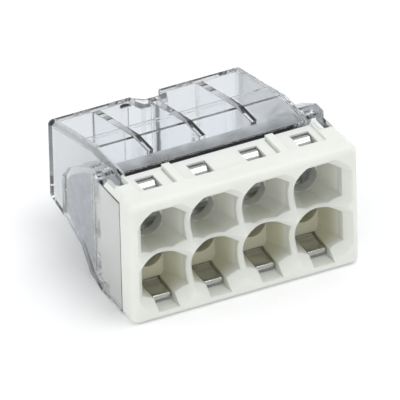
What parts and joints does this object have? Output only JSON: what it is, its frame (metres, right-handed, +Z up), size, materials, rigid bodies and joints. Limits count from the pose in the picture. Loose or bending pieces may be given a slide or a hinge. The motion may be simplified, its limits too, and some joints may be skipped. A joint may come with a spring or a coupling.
{
  "type": "push-in wire connector",
  "caption": "Compact push-in splicing connector: light grey wire-entry cover with two rows of round-bottomed entries, clear housing, steel spring clamps on a central busbar.",
  "frame": {"origin": "on the bottom face, under the centre of the bounding box", "axes": "X across the poles, +Y from the wire-entry face to the rear, +Z up"},
  "size_m": [0.0176, 0.016, 0.0096],
  "materials": {
    "cover_plastic": "light grey moulded polyamide",
    "clear_plastic": "clear polycarbonate",
    "tinned_copper": "tin plated copper",
    "spring_steel": "rolled stainless spring steel"
  },
  "bodies": {
    "connector": {"cover": "cover_plastic", "housing": "clear_plastic", "busbar": "tinned_copper", "lower_spring_strip": "spring_steel", "upper_spring_strip": "spring_steel"},
    "lower_clamp_1": {"lower_clamp_tongue_1": "spring_steel"},
    "lower_clamp_2": {"lower_clamp_tongue_2": "spring_steel"},
    "lower_clamp_3": {"lower_clamp_tongue_3": "spring_steel"},
    "lower_clamp_4": {"lower_clamp_tongue_4": "spring_steel"},
    "upper_clamp_1": {"upper_clamp_tongue_1": "spring_steel"},
    "upper_clamp_2": {"upper_clamp_tongue_2": "spring_steel"},
    "upper_clamp_3": {"upper_clamp_tongue_3": "spring_steel"},
    "upper_clamp_4": {"upper_clamp_tongue_4": "spring_steel"}
  },
  "joints": [
    {"name": "lower_clamp_1_flex", "type": "hinge", "parent": "connector", "child": "lower_clamp_1", "pos_m": [-0.00603, -0.00495, 0.00108], "axis": [-1, 0, 0], "range_deg": [0, 24], "stiffness_Nm_per_rad": 0.02, "springref_deg": -20.05},
    {"name": "lower_clamp_2_flex", "type": "hinge", "parent": "connector", "child": "lower_clamp_2", "pos_m": [-0.00201, -0.00495, 0.00108], "axis": [-1, 0, 0], "range_deg": [0, 24], "stiffness_Nm_per_rad": 0.02, "springref_deg": -20.05},
    {"name": "lower_clamp_3_flex", "type": "hinge", "parent": "connector", "child": "lower_clamp_3", "pos_m": [0.00201, -0.00495, 0.00108], "axis": [-1, 0, 0], "range_deg": [0, 24], "stiffness_Nm_per_rad": 0.02, "springref_deg": -20.05},
    {"name": "lower_clamp_4_flex", "type": "hinge", "parent": "connector", "child": "lower_clamp_4", "pos_m": [0.00603, -0.00495, 0.00108], "axis": [-1, 0, 0], "range_deg": [0, 24], "stiffness_Nm_per_rad": 0.02, "springref_deg": -20.05},
    {"name": "upper_clamp_1_flex", "type": "hinge", "parent": "connector", "child": "upper_clamp_1", "pos_m": [-0.00603, -0.00495, 0.00852], "axis": [1, 0, 0], "range_deg": [0, 24], "stiffness_Nm_per_rad": 0.02, "springref_deg": -20.05},
    {"name": "upper_clamp_2_flex", "type": "hinge", "parent": "connector", "child": "upper_clamp_2", "pos_m": [-0.00201, -0.00495, 0.00852], "axis": [1, 0, 0], "range_deg": [0, 24], "stiffness_Nm_per_rad": 0.02, "springref_deg": -20.05},
    {"name": "upper_clamp_3_flex", "type": "hinge", "parent": "connector", "child": "upper_clamp_3", "pos_m": [0.00201, -0.00495, 0.00852], "axis": [1, 0, 0], "range_deg": [0, 24], "stiffness_Nm_per_rad": 0.02, "springref_deg": -20.05},
    {"name": "upper_clamp_4_flex", "type": "hinge", "parent": "connector", "child": "upper_clamp_4", "pos_m": [0.00603, -0.00495, 0.00852], "axis": [1, 0, 0], "range_deg": [0, 24], "stiffness_Nm_per_rad": 0.02, "springref_deg": -20.05}
  ]
}
